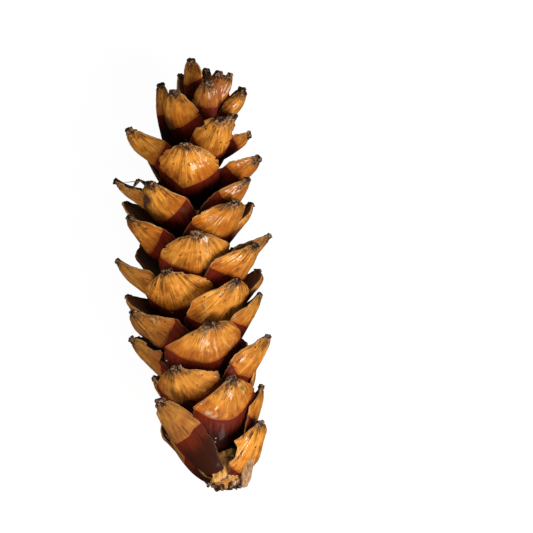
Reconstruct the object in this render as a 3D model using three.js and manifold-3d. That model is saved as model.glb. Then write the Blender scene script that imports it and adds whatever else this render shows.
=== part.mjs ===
// A white pine cone, open and varnished, lying on its side on a table.
// Millimetres, +Z up. The woody axis runs along +Y from the broken stem to the tip of the cone, and
// the origin is on the table, under the middle of the cone.
// The scales stand on the axis in a real cone's spiral. Each is one thick, cupped blade: a neck at
// the axis, a broad shield further out, a keel down its outer face and a blunt boss on its tip.
// The table presses up the scales underneath, so that their tips lie on it with small flat spots.

import * as THREE from "three";
import { mergeVertices } from "three/addons/utils/BufferGeometryUtils.js";
import Module from "manifold-3d";

// The woody axis: its length, where its solid rod starts, how far its middle bows towards -X, its
// height over the table at the stem and how much the tip end rises or sinks from there
const AXIS_LENGTH = 129;
const AXIS_STARTS = -1.6;
const AXIS_BOW = 8;
const AXIS_HEIGHT = 24;
const AXIS_TIP_RISE = -1.5;
const AXIS_SIDES = 9;
const AXIS_STEPS = 12;
const STEM_SCAR_DEPTH = 1.5;
const STEM_SCAR_RADIUS = 0.5;

// The middle of the cone on the table, seen from the stem end of the axis
const CONE_MIDDLE = [-6.8, 73.6];

// The spiral: how many scales, the turn from one to the next above it, one scale's known turn, and
// the lowest place on the axis
const SCALE_COUNT = 69;
const TURN_PER_SCALE = -138.84;
const KNOWN_SCALE = 44;
const KNOWN_TURN = -2;
const LOWEST_PLACE = -0.5;

// Along the cone, from 0 at the stem to 1 at the tip: the axis's radius, the relative distance to
// the next scale, and each scale's length, full width, thickness and angle out from the axis
const AXIS_RADIUS = [[-0.013, 5.4], [0.035, 6.6], [0.1, 5], [0.55, 4.4], [0.9, 2.8], [1, 1.6]];
const SPACING = [[0, 0.4], [0.15, 0.9], [0.4, 1.12], [0.68, 1.12], [0.84, 0.42], [1, 0.25]];
const SCALE_LENGTH = [[0, 23], [0.1, 28], [0.25, 32], [0.6, 32], [0.76, 29], [0.9, 25], [1, 19]];
const SCALE_WIDTH = [
  [0, 15], [0.05, 18], [0.12, 25], [0.2, 27], [0.42, 27], [0.52, 25], [0.65, 21.5], [0.72, 14.5], [0.78, 13],
  [0.85, 9.5], [0.92, 8.5], [1, 6.5],
];
const SCALE_THICKNESS = [[0, 1.6], [0.2, 2.1], [0.7, 2.1], [1, 1.6]];
const SCALE_OPENING = [[0, 29], [0.15, 38], [0.4, 43], [0.66, 42], [0.82, 29], [0.93, 15], [1, 7]];

// The scales at -X, on the outside of the bow, open this much further, and those at +X less
const OPENING_TOWARDS_BOW = 1;

// The outline of one scale: its neck's share of the width, which is broader near the stem, the share
// of the length at which it is widest, the half width of its tip, and how its shoulders round off
const NECK_WIDTH = [[0, 0.7], [0.06, 0.6], [0.2, 0.3], [1, 0.3]];
const WIDEST_AT = 0.5;
const TIP_HALF_WIDTH = 1.5;
const TIP_POWER = 2.6;
const TIP_BLUNTNESS = 0.62;

// The middle line of one scale, in degrees and shares of its length: its angle at the axis and how
// far the bend from there reaches, along the cone, the even curve back towards the axis, and the bend
// of its tip
const ROOT_ANGLE = [[0, 100], [0.06, 90], [0.2, 74], [1, 74]];
const ROOT_BEND_ENDS = [[0, 0.5], [0.06, 0.45], [0.2, 0.3], [1, 0.3]];
const INWARD_CURVE = 15;
const EVEN_AT = 0.62;
const TIP_BEND = 12;
const TIP_BEND_STARTS = 0.84;
const ROOT_DEPTH = 0.6;
const LINE_STEPS = 30;

// The section of one scale: its cup, its rim, its thinner end, its keel and the boss on its tip
const CUP_ANGLE = 38;
const RIM_THICKNESS = 0.85;
const TIP_THINNING = 0.35;
const THINNING_STARTS = 0.75;
const KEEL = 0.3;
const BOSS = 0.55;
const BOSS_STARTS = 0.9;

// How much single scales differ, either way, and the numbers behind these repeatable draws
const VARY = { turn: 4, opening: 4, rise: 0.5, length: 0.05, width: 0.06, twist: 9, lean: 0.05, tipBend: 14 };
const DRAW_WAVES = [12.9898, 78.233];
const DRAW_SPREAD = 43758.5453;

// Scales that stand differently from the rule: the scale's number, how much further it is turned,
// moved up and opened, its length and width as shares of the rule's, and its own lean to a side
const OWN_STAND = [
  [0, 0, 0, 10, 0.22, 0.8], [2, -8, -0.9, 8, 1.02, 1.3], [3, -22, -1.5, -18, 1.08], [5, 0, -5, -14, 0.2, 0.5],
  [6, 0, 0, -6, 1], [7, 0, -2, -7, 1.1], [8, 17, -7, -16, 1.38, 0.54, -0.17],
  [10, -13, -4, -9, 1.08, 1.1], [11, 0, 0, -21, 1], [13, -8, 1, -4, 1], [15, 8, 0, 1.5, 1.08],
  [16, 0, 3, -9, 1.06, 0.7], [18, 0, 2, 0, 1, 1.06], [20, -10, 2.6, -3, 1.06, 1.15], [21, 2, 2, 0, 1],
  [23, 5, 3, -4, 1, 1.08], [24, 0, 1, -11, 1], [25, 0, 3, 4, 1], [26, 9, 3, -5, 1], [28, 6, 4, -2, 1.06],
  [29, 0, 0, 0, 1.06], [31, 5, 1, -2, 1], [33, 0, -2, 9, 1], [34, 0, 2, -3, 1], [36, 5, 2, -4, 1],
  [38, 0, -3, -2, 0.95], [39, -8, 0, -1, 1], [41, 0, -2, 1, 0.95], [42, 0, -1.5, 8, 1], [44, -6, 1, -4, 1],
  [46, 0, -2, 2, 0.9], [47, -6, 1, 8, 1.08, 1.3], [49, -9, 1, 0, 1], [50, 0, 0, -14, 0.8, 0.8],
  [51, 0, -1, 13, 0.8], [52, -0.6, 0, -1, 1, 1.35], [54, -3, -3, 0, 0.75], [55, 0, -14, -21, 1.5, 0.9],
  [57, 6, -0.3, 1, 0.95], [59, 0, -0.5, 2, 0.9], [60, 0, -1, 0, 0.6], [62, -4, 0, -2, 0.9],
  [63, 0, 0, 0, 0.8], [64, 0, -1, -2, 0.75], [65, -13, -0.5, 1, 1.18, 1.5], [66, 10, 0, 0, 0.95],
  [67, 8, 0, 10, 1.05], [68, 0, -1, 0, 0.85],
];

// The table: its size, how far it cuts into a pressed tip, the step by which a pressed scale
// closes, and where along and across a scale its height is tried
const TABLE_SIZE = 400;
const FLAT_DEPTH = 0.5;
const PRESS_STEP = 0.1;
const TRIED_ALONG = [0.6, 0.7, 0.8, 0.9, 1];
const TRIED_ACROSS = [-1, -0.5, 0, 0.5, 1];

// The faces of one scale: how many across it, and the stations along it, for broad and narrow ones
const ACROSS = 4;
const STATIONS = [0, 0.3, 0.6, 0.86, 1];
const NARROW_ACROSS = 2;
const NARROW_STATIONS = [0, 0.38, 0.68, 0.9, 1];
const NARROW_HALF_WIDTH = 7.2;
const MERGE_DISTANCE = 1e-4;

const rad = THREE.MathUtils.degToRad;
const smooth = (x) => x * x * (3 - 2 * x);

// How far x is on the way from a start to 1, from 0 to 1.
const past = (x, start) => Math.max(0, (x - start) / (1 - start));

// A value that changes smoothly between the [place, value] stops of a list.
function between(stops, t) {
  const next = stops.findIndex(([place]) => place >= t);
  if (next <= 0) return stops[0][1];
  const [[from, low], [to, high]] = [stops[next - 1], stops[next]];
  return low + (high - low) * smooth((t - from) / (to - from));
}

// One scale's own differences: a repeatable draw from -1 to 1 for each, times its size.
function differences(index) {
  const draw = ([name, size], order) => {
    const wave = Math.sin((index + 1) * DRAW_WAVES[0] + (order + 1) * DRAW_WAVES[1]) * DRAW_SPREAD;
    return [name, size * (2 * (wave - Math.floor(wave)) - 1)];
  };
  return Object.fromEntries(Object.entries(VARY).map(draw));
}

// The middle of the axis at a distance from the stem, with its forward, sideways and up directions.
function axisAt(distance) {
  const share = distance / AXIS_LENGTH;
  const bow = -4 * AXIS_BOW * share * (1 - share);
  const bowSlope = (-4 * AXIS_BOW * (1 - 2 * share)) / AXIS_LENGTH;
  const middle = new THREE.Vector3(bow, distance, AXIS_HEIGHT + AXIS_TIP_RISE * share);
  const forward = new THREE.Vector3(bowSlope, 1, AXIS_TIP_RISE / AXIS_LENGTH).normalize();
  const side = forward.clone().cross(new THREE.Vector3(0, 0, 1)).normalize();
  const up = side.clone().cross(forward);
  return { middle, forward, side, up };
}

// Every scale's place on the axis, in millimetres from the stem.
function scalePlaces() {
  const steps = Array.from({ length: SCALE_COUNT }, (_, i) => between(SPACING, i / (SCALE_COUNT - 1)));
  const total = steps.reduce((sum, step) => sum + step, 0);
  let reached = 0;
  return steps.map((step) => {
    reached += step;
    return ((reached - step / 2) / total) * AXIS_LENGTH;
  });
}

const places = scalePlaces();

// One scale's sizes and angles, by the rule for its place and by its own differences.
function scaleAt(index) {
  const t = index / (SCALE_COUNT - 1);
  const own = OWN_STAND.find(([number]) => number === index) ?? [index, 0, 0, 0, 1];
  const [, ownTurn, ownRise, ownOpening, ownLength, ownWidth = 1, ownLean = 0] = own;
  const vary = differences(index);
  const turn = rad(KNOWN_TURN + (index - KNOWN_SCALE) * TURN_PER_SCALE + vary.turn + ownTurn);
  const evenOpening = between(SCALE_OPENING, t) - OPENING_TOWARDS_BOW * Math.sin(turn);
  return {
    turn,
    opening: evenOpening + vary.opening + ownOpening,
    place: Math.max(LOWEST_PLACE, places[index] + vary.rise + ownRise),
    length: between(SCALE_LENGTH, t) * (1 + vary.length) * ownLength,
    halfWidth: (between(SCALE_WIDTH, t) / 2) * (1 + vary.width) * ownWidth,
    neckWidth: between(NECK_WIDTH, t),
    rootAngle: between(ROOT_ANGLE, t),
    rootEnds: between(ROOT_BEND_ENDS, t),
    thickness: between(SCALE_THICKNESS, t),
    twist: rad(vary.twist),
    lean: vary.lean + ownLean,
    tipBend: TIP_BEND + vary.tipBend,
  };
}

// The angle of the scale's middle line out from the axis, at a share of its length.
function bendAt(scale, u) {
  const root = Math.max(0, 1 - u / scale.rootEnds) ** 2;
  const inward = INWARD_CURVE * (EVEN_AT - u) * (1 - root);
  const tip = scale.tipBend * past(u, TIP_BEND_STARTS) ** 2;
  return rad(scale.opening + (scale.rootAngle - scale.opening) * root + inward + tip);
}

// Half the scale's width at a share of its length.
function halfWidthAt(scale, u) {
  const neck = scale.neckWidth;
  if (u < WIDEST_AT) return scale.halfWidth * (neck + (1 - neck) * smooth(u / WIDEST_AT));
  const narrowing = Math.max(0, 1 - past(u, WIDEST_AT) ** TIP_POWER) ** TIP_BLUNTNESS;
  return TIP_HALF_WIDTH + (scale.halfWidth - TIP_HALF_WIDTH) * narrowing;
}

// The middle line of a scale in the plane through the axis: distance out, distance along, angle.
function middleLine(scale) {
  const step = scale.length / LINE_STEPS;
  const root = between(AXIS_RADIUS, scale.place / AXIS_LENGTH) * ROOT_DEPTH;
  const line = [{ out: root, along: 0, angle: bendAt(scale, 0) }];
  for (let i = 1; i <= LINE_STEPS; i += 1) {
    const angle = bendAt(scale, (i - 0.5) / LINE_STEPS);
    const { out, along } = line[i - 1];
    line.push({
      out: out + step * Math.sin(angle),
      along: along + step * Math.cos(angle),
      angle: bendAt(scale, i / LINE_STEPS),
    });
  }
  return line;
}

// How far a face of the scale lies from its middle surface: face 1 is outside and -1 inside.
function depthAt(scale, u, v, face) {
  const thinning = 1 - TIP_THINNING * smooth(past(u, THINNING_STARTS));
  const half = (RIM_THICKNESS + (scale.thickness * thinning - RIM_THICKNESS) * (1 - v * v)) / 2;
  const relief = KEEL * (1 - Math.abs(v)) * smooth(u) + BOSS * past(u, BOSS_STARTS);
  return face > 0 ? half + relief : -half;
}

// A point of a scale: u along it, v across it from -1 to 1, on one of its faces.
function scalePoint(scale, line, u, v, face) {
  const step = Math.min(LINE_STEPS - 1, Math.floor(u * LINE_STEPS));
  const part = u * LINE_STEPS - step;
  const mix = (key) => line[step][key] * (1 - part) + line[step + 1][key] * part;
  const axis = axisAt(scale.place);
  const outward = axis.side.clone().multiplyScalar(Math.sin(scale.turn));
  outward.addScaledVector(axis.up, Math.cos(scale.turn));
  const across = axis.side.clone().multiplyScalar(Math.cos(scale.turn));
  across.addScaledVector(axis.up, -Math.sin(scale.turn));
  const inward = outward.clone().multiplyScalar(-Math.cos(mix("angle")));
  inward.addScaledVector(axis.forward, Math.sin(mix("angle")));

  const cupRadius = scale.halfWidth / rad(CUP_ANGLE);
  const cupTurn = (v * halfWidthAt(scale, u)) / cupRadius;
  const round = cupRadius + depthAt(scale, u, v, face);
  const flat = round * Math.sin(cupTurn);
  const raised = cupRadius - round * Math.cos(cupTurn);
  const twist = scale.twist * u;
  const sideways = flat * Math.cos(twist) - raised * Math.sin(twist) + scale.lean * scale.length * u * u;
  const inwards = flat * Math.sin(twist) + raised * Math.cos(twist);

  return axis.middle
    .addScaledVector(outward, mix("out"))
    .addScaledVector(axis.forward, mix("along"))
    .addScaledVector(across, sideways)
    .addScaledVector(inward, inwards);
}

// How low a scale reaches, from some points of its outer face.
function lowestOf(scale) {
  const line = middleLine(scale);
  const heights = TRIED_ALONG.flatMap((u) => TRIED_ACROSS.map((v) => scalePoint(scale, line, u, v, 1).z));
  return Math.min(...heights);
}

// The table closes a scale underneath until only its flat spot would reach below the surface.
function pressOnTable(scale) {
  while (lowestOf(scale) < -FLAT_DEPTH) scale.opening -= PRESS_STEP;
  return scale;
}

// A three.js geometry moved point by point, with its doubled corners merged into one closed skin.
function shaped(geometry, move) {
  geometry.deleteAttribute("normal");
  geometry.deleteAttribute("uv");
  const position = geometry.getAttribute("position");
  for (let i = 0; i < position.count; i += 1) {
    const point = move(position.getX(i), position.getY(i), position.getZ(i));
    position.setXYZ(i, point.x, point.y, point.z);
  }
  return mergeVertices(geometry, MERGE_DISTANCE);
}

// One scale as a box with faces along and across it, bent into its blade.
function scaleGeometry(index) {
  const scale = pressOnTable(scaleAt(index));
  const line = middleLine(scale);
  const narrow = scale.halfWidth < NARROW_HALF_WIDTH;
  const stations = narrow ? NARROW_STATIONS : STATIONS;
  const steps = stations.length - 1;
  const box = new THREE.BoxGeometry(2, steps, 2, narrow ? NARROW_ACROSS : ACROSS, steps, 1);
  return shaped(box, (x, y, z) => scalePoint(scale, line, stations[Math.round(y + steps / 2)], x, z));
}

// The axis is a bent, tapered rod with a hollow, broken end where the stem was.
function axisGeometry() {
  const rod = new THREE.CylinderGeometry(1, 1, 1, AXIS_SIDES, AXIS_STEPS);
  return shaped(rod, (x, y, z) => {
    const distance = AXIS_STARTS + (y + 0.5) * (AXIS_LENGTH - AXIS_STARTS);
    const axis = axisAt(distance);
    const radius = between(AXIS_RADIUS, distance / AXIS_LENGTH);
    const inScar = y === -0.5 && Math.hypot(x, z) < STEM_SCAR_RADIUS;
    return axis.middle
      .addScaledVector(axis.side, x * radius)
      .addScaledVector(axis.up, z * radius)
      .addScaledVector(axis.forward, inScar ? STEM_SCAR_DEPTH : 0);
  });
}

// The table under the cone, as a block whose top is the surface.
function tableGeometry() {
  const block = new THREE.BoxGeometry(TABLE_SIZE, TABLE_SIZE, TABLE_SIZE);
  return shaped(block, (x, y, z) => new THREE.Vector3(x, y, z - TABLE_SIZE / 2));
}

const wasm = await Module();
wasm.setup();

function solidOf(geometry) {
  const vertProperties = geometry.getAttribute("position").array;
  const triVerts = new Uint32Array(geometry.index.array);
  return new wasm.Manifold(new wasm.Mesh({ numProp: 3, vertProperties, triVerts }));
}

function geometryOf(solid) {
  const mesh = solid.getMesh();
  return new THREE.BufferGeometry()
    .setAttribute("position", new THREE.Float32BufferAttribute(mesh.vertProperties, 3))
    .setIndex(new THREE.Uint32BufferAttribute(mesh.triVerts, 1));
}

// The scales grow out of the axis, so the whole cone is one solid. Only its largest body is kept.
function coneSolid() {
  let cone = solidOf(axisGeometry());
  for (let i = 0; i < SCALE_COUNT; i += 1) cone = cone.add(solidOf(scaleGeometry(i)));
  cone = cone.subtract(solidOf(tableGeometry()));
  return cone.decompose().reduce((best, body) => (body.volume() > best.volume() ? body : best));
}

const varnishedScale = new THREE.MeshStandardMaterial({ color: 0xae641f, roughness: 0.3, metalness: 0 });

function pineCone() {
  const geometry = geometryOf(coneSolid());
  geometry.translate(-CONE_MIDDLE[0], -CONE_MIDDLE[1], 0);
  geometry.computeVertexNormals();
  const mesh = new THREE.Mesh(geometry, varnishedScale);
  mesh.name = "pine_cone";
  return mesh;
}

const group = new THREE.Group();
group.add(pineCone());

export default group;
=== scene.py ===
# A varnished white pine cone on its side, on a pale table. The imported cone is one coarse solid, and
# every scale of it is made again here by the same rule, as a fine closed shell with its own rim,
# ribs and crusted tip. Sizes in the rule are millimetres, and meshes are metres.

import math

import bmesh
import bpy
from bpy.props import FloatProperty, FloatVectorProperty, IntProperty, PointerProperty, StringProperty
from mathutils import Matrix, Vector, noise


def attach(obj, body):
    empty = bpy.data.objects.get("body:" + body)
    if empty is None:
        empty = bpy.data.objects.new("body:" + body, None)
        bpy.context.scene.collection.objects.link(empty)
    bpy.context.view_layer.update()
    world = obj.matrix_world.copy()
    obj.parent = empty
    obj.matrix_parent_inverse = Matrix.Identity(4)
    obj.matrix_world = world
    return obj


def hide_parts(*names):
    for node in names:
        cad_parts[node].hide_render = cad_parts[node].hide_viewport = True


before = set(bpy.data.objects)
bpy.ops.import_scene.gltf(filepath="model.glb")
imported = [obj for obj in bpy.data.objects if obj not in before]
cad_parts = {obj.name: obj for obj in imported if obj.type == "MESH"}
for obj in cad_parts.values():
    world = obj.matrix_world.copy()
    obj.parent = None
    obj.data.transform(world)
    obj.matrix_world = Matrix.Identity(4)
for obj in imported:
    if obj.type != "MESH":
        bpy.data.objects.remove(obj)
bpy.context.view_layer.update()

bl_info = {
    "name": "Pine cone",
    "version": (1, 0, 0),
    "blender": (4, 5, 0),
    "location": "3D View > Sidebar > Pine cone",
    "description": "Dresses a packed pine cone with fine varnished scales",
    "category": "Object",
}

MM = 0.001
CONE_NODE = "pine_cone"
CONE_BODY = "root"

# The woody axis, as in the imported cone: its length, start, bow, height and rise
AXIS_LENGTH = 129
AXIS_STARTS = -1.6
AXIS_BOW = 8
AXIS_HEIGHT = 24
AXIS_TIP_RISE = -1.5
CONE_MIDDLE = (-6.8, 73.6)

# The spiral of scales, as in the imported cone
SCALE_COUNT = 69
TURN_PER_SCALE = -138.84
KNOWN_SCALE = 44
KNOWN_TURN = -2
LOWEST_PLACE = -0.5

# Along the cone, from 0 at the stem to 1 at the tip
AXIS_RADIUS = ((-0.013, 5.4), (0.035, 6.6), (0.1, 5), (0.55, 4.4), (0.9, 2.8), (1, 1.6))
SPACING = ((0, 0.4), (0.15, 0.9), (0.4, 1.12), (0.68, 1.12), (0.84, 0.42), (1, 0.25))
SCALE_LENGTH = ((0, 23), (0.1, 28), (0.25, 32), (0.6, 32), (0.76, 29), (0.9, 25), (1, 19))
SCALE_WIDTH = (
    (0, 15), (0.05, 18), (0.12, 25), (0.2, 27), (0.42, 27), (0.52, 25), (0.65, 21.5), (0.72, 14.5),
    (0.78, 13), (0.85, 9.5), (0.92, 8.5), (1, 6.5),
)
SCALE_THICKNESS = ((0, 1.6), (0.2, 2.1), (0.7, 2.1), (1, 1.6))
SCALE_OPENING = ((0, 29), (0.15, 38), (0.4, 43), (0.66, 42), (0.82, 29), (0.93, 15), (1, 7))
OPENING_TOWARDS_BOW = 1

# The outline, the middle line and the section of one scale
NECK_WIDTH = ((0, 0.7), (0.06, 0.6), (0.2, 0.3), (1, 0.3))
WIDEST_AT = 0.5
TIP_HALF_WIDTH = 1.5
TIP_POWER = 2.6
TIP_BLUNTNESS = 0.62
ROOT_ANGLE = ((0, 100), (0.06, 90), (0.2, 74), (1, 74))
ROOT_BEND_ENDS = ((0, 0.5), (0.06, 0.45), (0.2, 0.3), (1, 0.3))
INWARD_CURVE = 15
EVEN_AT = 0.62
TIP_BEND = 12
TIP_BEND_STARTS = 0.84
ROOT_DEPTH = 0.6
LINE_STEPS = 30
CUP_ANGLE = 38
RIM_THICKNESS = 0.85
TIP_THINNING = 0.35
THINNING_STARTS = 0.75
KEEL = 0.3
BOSS = 0.55
BOSS_STARTS = 0.9

# How much single scales differ, in the order in which their repeatable draws are numbered
VARY = (
    ("turn", 4),
    ("opening", 4),
    ("rise", 0.5),
    ("length", 0.05),
    ("width", 0.06),
    ("twist", 9),
    ("lean", 0.05),
    ("tip_bend", 14),
)
DRAW_WAVES = (12.9898, 78.233)
DRAW_SPREAD = 43758.5453

# Scales that stand differently: extra turn, rise and opening, their shares of length and width, and
# an extra lean to a side
PLAIN_STAND = (0, 0, 0, 1, 1, 0)
OWN_STAND = {
    0: (0, 0, 10, 0.22, 0.8, 0), 2: (-8, -0.9, 8, 1.02, 1.3, 0), 3: (-22, -1.5, -18, 1.08, 1, 0),
    5: (0, -5, -14, 0.2, 0.5, 0), 6: (0, 0, -6, 1, 1, 0), 7: (0, -2, -7, 1.1, 1, 0),
    8: (17, -7, -16, 1.38, 0.54, -0.17), 10: (-13, -4, -9, 1.08, 1.1, 0), 11: (0, 0, -21, 1, 1, 0),
    13: (-8, 1, -4, 1, 1, 0), 15: (8, 0, 1.5, 1.08, 1, 0), 16: (0, 3, -9, 1.06, 0.7, 0),
    18: (0, 2, 0, 1, 1.06, 0), 20: (-10, 2.6, -3, 1.06, 1.15, 0), 21: (2, 2, 0, 1, 1, 0),
    23: (5, 3, -4, 1, 1.08, 0), 24: (0, 1, -11, 1, 1, 0), 25: (0, 3, 4, 1, 1, 0), 26: (9, 3, -5, 1, 1, 0),
    28: (6, 4, -2, 1.06, 1, 0), 29: (0, 0, 0, 1.06, 1, 0), 31: (5, 1, -2, 1, 1, 0),
    33: (0, -2, 9, 1, 1, 0), 34: (0, 2, -3, 1, 1, 0), 36: (5, 2, -4, 1, 1, 0),
    38: (0, -3, -2, 0.95, 1, 0), 39: (-8, 0, -1, 1, 1, 0), 41: (0, -2, 1, 0.95, 1, 0),
    42: (0, -1.5, 8, 1, 1, 0), 44: (-6, 1, -4, 1, 1, 0), 46: (0, -2, 2, 0.9, 1, 0),
    47: (-6, 1, 8, 1.08, 1.3, 0), 49: (-9, 1, 0, 1, 1, 0), 50: (0, 0, -14, 0.8, 0.8, 0),
    51: (0, -1, 13, 0.8, 1, 0), 52: (-0.6, 0, -1, 1, 1.35, 0), 54: (-3, -3, 0, 0.75, 1, 0),
    55: (0, -14, -21, 1.5, 0.9, 0), 57: (6, -0.3, 1, 0.95, 1, 0), 59: (0, -0.5, 2, 0.9, 1, 0),
    60: (0, -1, 0, 0.6, 1, 0), 62: (-4, 0, -2, 0.9, 1, 0), 63: (0, 0, 0, 0.8, 1, 0),
    64: (0, -1, -2, 0.75, 1, 0), 65: (-13, -0.5, 1, 1.18, 1.5, 0), 66: (10, 0, 0, 0.95, 1, 0),
    67: (8, 0, 10, 1.05, 1, 0), 68: (0, -1, 0, 0.85, 1, 0),
}

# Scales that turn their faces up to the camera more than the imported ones, in degrees at the tip
OWN_TWIST = {46: -25, 51: -40, 55: 60, 59: -45}

# How the table presses the scales underneath
FLAT_DEPTH = 0.5
PRESS_STEP = 0.1
TRIED_ALONG = (0.6, 0.7, 0.8, 0.9, 1)
TRIED_ACROSS = (-1, -0.5, 0, 0.5, 1)

# The mesh of one fine scale: the size of its faces, and how far they crowd towards the rim and tip
FACE_WIDTH = 0.39
FACE_LENGTH = 0.62
FEWEST_COLUMNS = 24
MOST_COLUMNS = 62
FEWEST_ROWS = 30
MOST_ROWS = 52
RIM_CROWDING = 0.55
TIP_CROWDING = 0.45

# The rim of a fine scale: how fast straight shoulders narrow, how cornered round and other shoulders
# are, and how its waves and nicks repeat along the scale
SHOULDER_SLOPE = 1.8
ROUND_CORNERS = 0.1
CORNERS_VARY = 1.2
RIM_WAVES = (5, 17)
RIM_NICKS = 30

# How far from the stem the roots of the scales lie open to the light, in millimetres, and the shares
# of the length between which a scale elsewhere gets painted shade towards its root, deep between scales
OPEN_ROOTS = 30
DARKENS_FROM = 0.5
DARKEST_FROM = 0.14

# The lower line of a scale's tan shield: its lowest point along and across the scale, how much it
# rises from there to the left and the right rim, all as shares, and how much rounder it is than a V
SHIELD = (0.45, 0, 0.16, 0.16, 1.4)
SHIELD_VARIES = (0.03, 0.25)
OWN_SHIELD = {
    2: (0.12, 0, 0.1, 0.1, 1.5), 8: (0.53, -0.7, 0, 0.12, 1.1), 10: (0.49, -0.1, 0.19, 0.2, 1.4),
    13: (0.47, -0.3, 0.3, 0.1, 1.4), 15: (0.52, -0.6, 0.08, -0.1, 1.3), 18: (0.48, 0.05, 0.22, 0.1, 1.8),
    20: (0.62, -0.3, 0, 0.1, 1.3), 21: (0.5, 0, -0.08, 0.23, 1.3),
    23: (0.38, 0.6, 0.12, 0.3, 1.6), 26: (0.43, -0.35, 0.2, 0.15, 1.4),
    28: (0.6, -0.45, 0, -0.12, 1.3), 31: (0.49, 0.1, 0.13, 0.1, 1.8), 34: (0.43, -0.6, 0, 0.3, 1.3),
    36: (0.5, 0.15, 0.14, 0.1, 2), 38: (0.4, -0.5, 0.05, 0, 1.3),
    39: (0.43, -0.35, 0.2, 0.28, 1.1), 41: (0.7, -0.6, 0.05, -0.1, 1.3),
    44: (0.41, -0.25, 0.2, 0.17, 1.1), 46: (0.62, 0, 0, 0, 1.3), 47: (0.45, -0.5, 0, 0.2, 1.3),
    49: (0.41, 0.4, 0.2, 0.14, 1.8), 51: (0.66, 0, 0, 0, 1.3), 52: (0.4, -0.85, 0.1, 0.27, 1.1),
    55: (0.71, 0, 0, 0, 1.3), 57: (0.62, -0.05, -0.03, 0, 2), 59: (0.56, 0, 0, 0, 1.3),
    65: (0.61, -0.2, 0, 0.12, 1.3),
}

# Scales coloured differently: how much redder, browner and stained, and how far bare wood, from 0 to 1
PLAIN_TONE = (0, 0, 0, 0)
OWN_TONE = {
    0: (0, 0, 0, 1), 3: (0, 0.3, 0, 0), 5: (0, 0, 0, 1), 8: (0, 0.75, 0, 0), 10: (0, 0.2, 0, 0),
    13: (0, 0.3, 0, 0), 16: (0, 0.5, 0, 0), 18: (0, 0.25, 0.2, 0), 21: (0, 0.45, 0, 0),
    23: (0, 0, 0.25, 0), 24: (0, 0.5, 0, 0), 25: (0, 0.8, 0, 0), 29: (0, 0.25, 0, 0),
    31: (0, 0.15, 0, 0), 32: (0, 0.8, 0, 0), 33: (0, 0.7, 0, 0), 39: (0, 0, 0.3, 0), 42: (0, 0.3, 0, 0),
    57: (0.2, 0.3, 0, 0), 62: (0.75, 0, 0, 0), 66: (0.1, 0.9, 0, 0), 67: (0.2, 0, 0.3, 0),
}

# Scales with a broader crust, as a share of the usual breadth
OWN_CRUST = {10: 1.7, 13: 1.9, 18: 1.8, 23: 1.4, 26: 1.3, 28: 1.4, 31: 1.1, 36: 1.4, 44: 0.8, 52: 0.8}

# Scales with round instead of cornered shoulders, and scales that narrow earlier towards the tip
ROUND_SCALES = (8, 36, 44, 49, 52, 57, 65)
OWN_NARROWING = {47: 1.9, 52: 1.5, 57: 2.2, 62: 1.5, 65: 3.4, 67: 1.5}

# The widest crusted tip, as a share of the scale's half width
WIDEST_UMBO = 0.38

# Marks under the varnish: the scale's number, the share of its length and of its half width, the
# radii along and across in millimetres, and how dark, green grey or pale it is, from 0 to 1
MARKS = (
    (39, 0.78, -0.5, 2.6, 2.8, (0.95, 0, 0)), (39, 0.66, -0.6, 1.8, 1.6, (0.8, 0, 0)),
    (23, 0.86, -0.15, 1.5, 0.9, (0, 0.8, 0)), (23, 0.78, -0.1, 0.8, 0.6, (0, 0.6, 0)),
    (18, 0.86, -0.16, 0.8, 0.7, (0, 0.8, 0)), (10, 0.82, 0.46, 1.1, 0.7, (0, 0.9, 0)),
    (10, 0.62, -0.62, 0.5, 1.3, (0, 0, 0.8)), (10, 0.57, -0.45, 0.45, 1.2, (0, 0, 0.6)),
    (34, 0.93, 0.36, 0.3, 1.0, (0.9, 0, 0)), (34, 0.88, 0.52, 0.3, 1.0, (0.9, 0, 0)),
    (34, 0.82, 0.64, 0.3, 1.0, (0.8, 0, 0)),
)

# The fine axis: its lumps as a share of its radius, and how deep the broken stem's scar is hollowed
# and how uneven it is, in millimetres
AXIS_LUMPS = 0.1
SCAR_HOLLOW = 2.2
SCAR_CRUMBS = 0.5

# The crumbly crust round the broken stem: the turn from knob to knob, how far it reaches along the
# axis, its distances from the axis at both ends, and a knob's middle size, in millimetres
GOLDEN_ANGLE = math.radians(137.5)
STEM_CRUST_LENGTH = 4.2
STEM_CRUST_REACH = (3.4, 6.0)
KNOB_SIZE = 0.85
KNOB_SIZE_VARIES = 0.45

# The strip of dry bark and the bare fibres beside it: upper and lower end and half width in
# millimetres, how far the middle bulges, how strongly it curves across, and how it spreads to its end
STRIPS = {
    "dry_strip": ((14.4, -64.4, 31.0), (12.0, -75.2, 27.0), 1.7, 1.6, 0.25, -0.55),
    "bare_fibres": ((5.6, -62.4, 30.6), (4.6, -72.4, 31.4), 3.2, 1.0, 0.09, 0.4),
}
STRIP_THICKNESS = 0.7

# Splinters: foot and end in millimetres, how far the middle bulges upwards, and the radius at the foot
PALE_SPLINTERS = (
    ((-14.9, -16.2, 42.2), (-16.2, -13.4, 44.6), 0.4, 0.3),
    ((-13.4, -15.8, 42.2), (-14.2, -13.2, 45.0), 0.3, 0.28),
    ((2.7, -12.2, 43.0), (2.8, -9.2, 45.2), 0.2, 0.28),
)
DARK_SPLINTERS = (
    ((-14.4, 32.8, 41.0), (-17.4, 35.0, 42.2), 0.8, 0.95),
    ((-17.4, 34.4, 41.2), (-19.6, 31.6, 40.0), 0.9, 0.85),
    ((-15.6, 34.2, 41.0), (-23.4, 34.0, 40.6), 2.0, 0.22),
)
SPLINTER_CUTS = 12

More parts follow.
